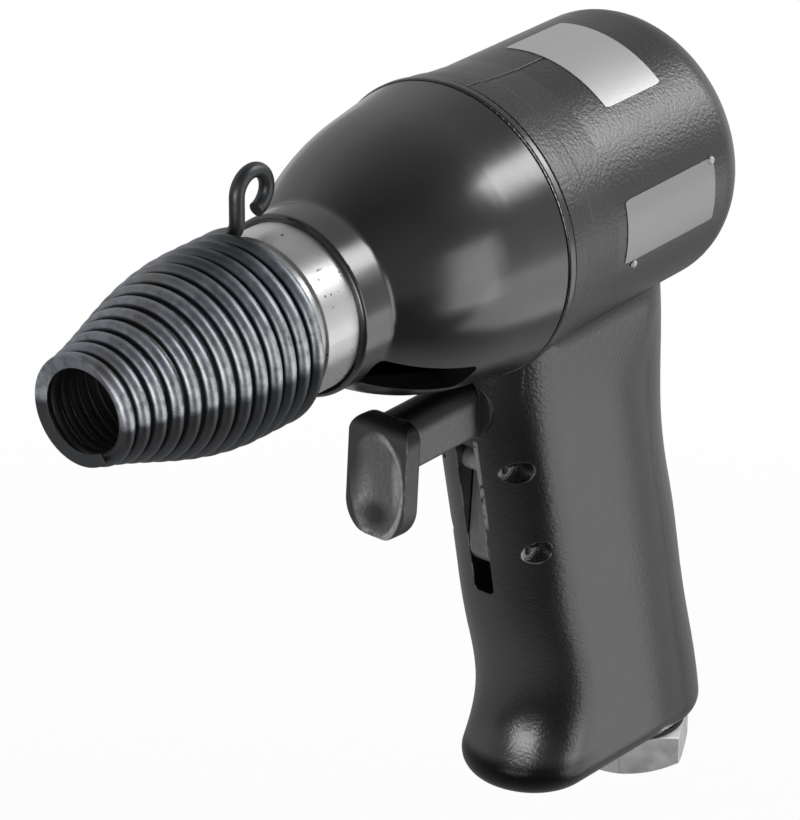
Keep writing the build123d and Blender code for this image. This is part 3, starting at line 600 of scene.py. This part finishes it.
def stick_plate(name, behind_front, behind_rear, from_angle, to_angle, finish):
    """A thin bent plate between two distances behind the cover and two polar angles."""
    thickness, lift, corner, steps = 0.00015, 0.00003, 0.0022, 360
    front, rear = joint_y + behind_front, joint_y + behind_rear
    middle = (from_angle + to_angle) / 2
    bpy.ops.object.select_all(action="DESELECT")
    bpy.ops.mesh.primitive_cone_add(
        vertices=steps, radius1=skin_radius(rear, middle) + lift, radius2=skin_radius(front, middle) + lift,
        depth=rear - front, end_fill_type="NOTHING", location=(0, (front + rear) / 2, 0),
        rotation=(pi / 2, 0, 0))
    plate = bpy.context.object
    plate.name = name
    bpy.ops.object.transform_apply(location=True, rotation=True, scale=True)
    bpy.ops.object.mode_set(mode="EDIT")
    bpy.ops.mesh.select_mode(type="VERT")
    bpy.ops.mesh.select_all(action="DESELECT")
    bpy.ops.object.mode_set(mode="OBJECT")
    for vertex in plate.data.vertices:
        angle = degrees(atan2(vertex.co.z, vertex.co.x))
        vertex.select = not from_angle - 0.01 <= angle <= to_angle + 0.01
    bpy.ops.object.mode_set(mode="EDIT")
    bpy.ops.mesh.delete(type="VERT")
    bpy.ops.mesh.select_all(action="DESELECT")
    bpy.ops.object.mode_set(mode="OBJECT")
    angles = [degrees(atan2(vertex.co.z, vertex.co.x)) for vertex in plate.data.vertices]
    for vertex, angle in zip(plate.data.vertices, angles):
        vertex.select = angle < min(angles) + 0.1 or angle > max(angles) - 0.1
    bpy.ops.object.mode_set(mode="EDIT")
    bpy.ops.mesh.bevel(offset=corner, segments=5, affect="VERTICES")
    bpy.ops.mesh.select_all(action="SELECT")
    bpy.ops.mesh.normals_make_consistent(inside=False)
    bpy.ops.object.mode_set(mode="OBJECT")
    wall = plate.modifiers.new("wall", "SOLIDIFY")
    wall.thickness = thickness
    wall.offset = 1.0
    bpy.ops.object.modifier_apply(modifier=wall.name)
    bpy.ops.object.shade_smooth_by_angle(angle=radians(30))
    plate.data.materials.append(finish)
    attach(plate, "housing")


stick_plate("top_plate", 0.0247, 0.0422, 50, 104, satin_finish("satin_aluminium", 0.70, 0.80))
stick_plate("side_plate", 0.0187, 0.0474, -13, 14, satin_finish("dulled_aluminium", 0.36, 0.44))


# Drive pins
# Two small steel pins with domed heads, driven into the housing at opposite corners of the flank's plate.

def drive_pin(name, behind, angle, finish):
    """A domed head of 1.7 mm on the skin at this distance behind the cover and polar angle."""
    head_radius, head_height, lift = 0.00085, 0.0006, 0.0001
    outward = spoke(angle)
    foot = Vector((0, joint_y + behind, 0)) + outward * (skin_radius(joint_y + behind, angle) + lift)
    bpy.ops.object.select_all(action="DESELECT")
    bpy.ops.mesh.primitive_cylinder_add(vertices=48, radius=head_radius, depth=head_height,
                                        location=foot + outward * head_height / 2,
                                        rotation=outward.to_track_quat("Z", "Y").to_euler())
    pin = bpy.context.object
    pin.name = name
    bpy.ops.object.transform_apply(location=True, rotation=True, scale=True)
    bpy.ops.object.mode_set(mode="EDIT")
    bpy.ops.mesh.select_mode(type="VERT")
    bpy.ops.mesh.select_all(action="DESELECT")
    bpy.ops.object.mode_set(mode="OBJECT")
    for vertex in pin.data.vertices:
        vertex.select = (vertex.co - foot).dot(outward) > head_height / 2
    bpy.ops.object.mode_set(mode="EDIT")
    bpy.ops.mesh.select_mode(use_extend=False, use_expand=False, type="EDGE")
    bpy.ops.mesh.bevel(offset=head_height * 0.9, segments=6, affect="EDGES")
    bpy.ops.object.mode_set(mode="OBJECT")
    bpy.ops.object.shade_smooth_by_angle(angle=radians(40))
    pin.data.materials.append(finish)
    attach(pin, "housing")


pin_head = satin_finish("drive_pin_steel", 0.5, 0.7)
drive_pin("plate_pin_rear", 0.0467, 13, pin_head)
drive_pin("plate_pin_front", 0.0219, -15, pin_head)


# Floor
# A plain pale sheet well below the tool. It is white in the picture and keeps the tool's soft shadow. In the
# tool's gloss it is grey towards the tool's front left, as in a room with one white wall, and lighter behind.

def mirrored_ray(tree):
    """1 for what a mirror or glass shows, and otherwise 0."""
    path = tree.nodes.new("ShaderNodeLightPath")
    return joined(tree, path.outputs["Is Glossy Ray"], path.outputs["Is Transmission Ray"], "MAXIMUM")


def camera_ray(tree):
    """1 for what the picture shows directly, and otherwise 0."""
    return tree.nodes.new("ShaderNodeLightPath").outputs["Is Camera Ray"]


floor_drop = 0.3
floor_size = 6.0
dim_ways = (0.64, -0.77, 0), (0.985, -0.174, 0)
dim_floor = 0.025
far_floor = 0.33
rear_floor = 0.5
shadow_reach = 0.35
shadow_end = 1.0
shadow_clear = 0.92

bpy.ops.object.select_all(action="DESELECT")
bpy.ops.mesh.primitive_plane_add(size=floor_size, location=(0, 0, cad_low.z - floor_drop))
floor = bpy.context.object
floor.name = "floor"
pale, tree, shader, place = new_finish("pale_floor")
shader.inputs["Base Color"].default_value = (*grey(0.8), 1.0)
shader.inputs["Roughness"].default_value = 0.8
white = tree.nodes.new("ShaderNodeEmission")
near = joined(tree, *(towards(tree, place, way) for way in dim_ways), "MAXIMUM")
away = spread(tree, near, 0.08, 0.40, far_floor, dim_floor)
_, rearward, _ = apart(tree, place)
away = joined(tree, away, spread(tree, rearward, 0.6, 1.4, 0.0, rear_floor), "ADD")
tree.links.new(joined(tree, away, camera_ray(tree), "MAXIMUM"), white.inputs["Strength"])
reach = tree.nodes.new("ShaderNodeVectorMath")
reach.operation = "LENGTH"
tree.links.new(place, reach.inputs[0])
clear = spread(tree, reach.outputs["Value"], shadow_reach, shadow_end, shadow_clear, 1.0)
glow = joined(tree, joined(tree, camera_ray(tree), clear), mirrored_ray(tree), "MAXIMUM")
blend = tree.nodes.new("ShaderNodeMixShader")
tree.links.new(glow, blend.inputs["Fac"])
tree.links.new(shader.outputs["BSDF"], blend.inputs[1])
tree.links.new(white.outputs["Emission"], blend.inputs[2])
tree.links.new(blend.outputs["Shader"], tree.nodes["Material Output"].inputs["Surface"])
floor.data.materials.append(pale)


# Surroundings
# The same room: white in the picture, and a soft grey where it only gives light. In the tool's gloss it is
# bright behind the tool and dimmer overhead and towards the tool's front left.

dim_side = (0.64, -0.64, 0.43)
wall_level = 0.47
ceiling_level = 0.22
dim_level = 0.35
behind_level = 2.0
fill_level = 0.4

world = bpy.data.worlds.new("studio")
bpy.context.scene.world = world
world.use_nodes = True
tree = world.node_tree
direction = tree.nodes.new("ShaderNodeTexCoord").outputs["Generated"]
_, _, up = apart(tree, direction)
wall = spread(tree, up, 0.55, 0.95, wall_level, ceiling_level)
away = spread(tree, towards(tree, direction, dim_side), 0.0, 0.65, 1.0, dim_level)
behind = spread(tree, towards(tree, direction, (0, 1, 0)), 0.93, 0.99, 1.0, behind_level)
room = joined(tree, joined(tree, joined(tree, wall, away), behind), mirrored_ray(tree))
shown = joined(tree, room, camera_ray(tree), "MAXIMUM")
unseen = joined(tree, 1.0, joined(tree, mirrored_ray(tree), camera_ray(tree), "MAXIMUM"), "SUBTRACT")
strength = joined(tree, shown, joined(tree, unseen, fill_level), "ADD")
tree.links.new(strength, tree.nodes["Background"].inputs["Strength"])
tree.nodes["Background"].inputs["Color"].default_value = (*grey(1.0), 1.0)


# Lamps
# Softboxes placed by azimuth, elevation and distance, then given a width, a height and a brightness. Azimuth
# 0 is ahead of the nose and 90 on the tool's left.

def hang_softbox(name, azimuth, elevation, distance, width, height, brightness):
    """A softbox that is so many times as bright as the white backdrop."""
    aim = Vector((0, 0.06, -0.03))
    turn, tilt = radians(azimuth), radians(elevation)
    way = Vector((sin(turn) * cos(tilt), -cos(turn) * cos(tilt), sin(tilt)))
    lamp = bpy.data.lights.new(name, "AREA")
    lamp.shape = "RECTANGLE"
    lamp.size = width
    lamp.size_y = height
    lamp.energy = brightness * pi * width * height
    held = bpy.data.objects.new(name, lamp)
    bpy.context.scene.collection.objects.link(held)
    held.location = aim + way * distance
    held.rotation_euler = (-way).to_track_quat("-Z", "Y").to_euler()


hang_softbox("key_softbox", 140, 39, 1.2, 0.5, 0.43, 4.9)
hang_softbox("low_key_softbox", 148, 21, 1.2, 0.36, 0.28, 2.6)
hang_softbox("side_softbox", 100, -4, 0.9, 0.34, 0.8, 1.35)
hang_softbox("rear_softbox", 127, -30, 0.6, 0.45, 0.44, 1.0)
hang_softbox("front_softbox", 13, -1, 1.0, 0.7, 0.36, 4.2)


# Camera
# It stands 1.3 m off, 40 degrees round from the nose and 26 degrees up.

camera_place = Vector((0.75147, -0.84172, 0.53512))
camera_aim = Vector((0.00207, 0.05596, -0.03282))
camera_lens = 287.6
sensor_width = 36.0

lens = bpy.data.cameras.new("camera")
lens.lens = camera_lens
lens.sensor_width = sensor_width
camera = bpy.data.objects.new("camera", lens)
bpy.context.scene.collection.objects.link(camera)
camera.location = camera_place
camera.rotation_euler = (camera_aim - camera_place).to_track_quat("-Z", "Y").to_euler()
bpy.context.scene.camera = camera
bpy.context.scene.view_settings.view_transform = "Standard"
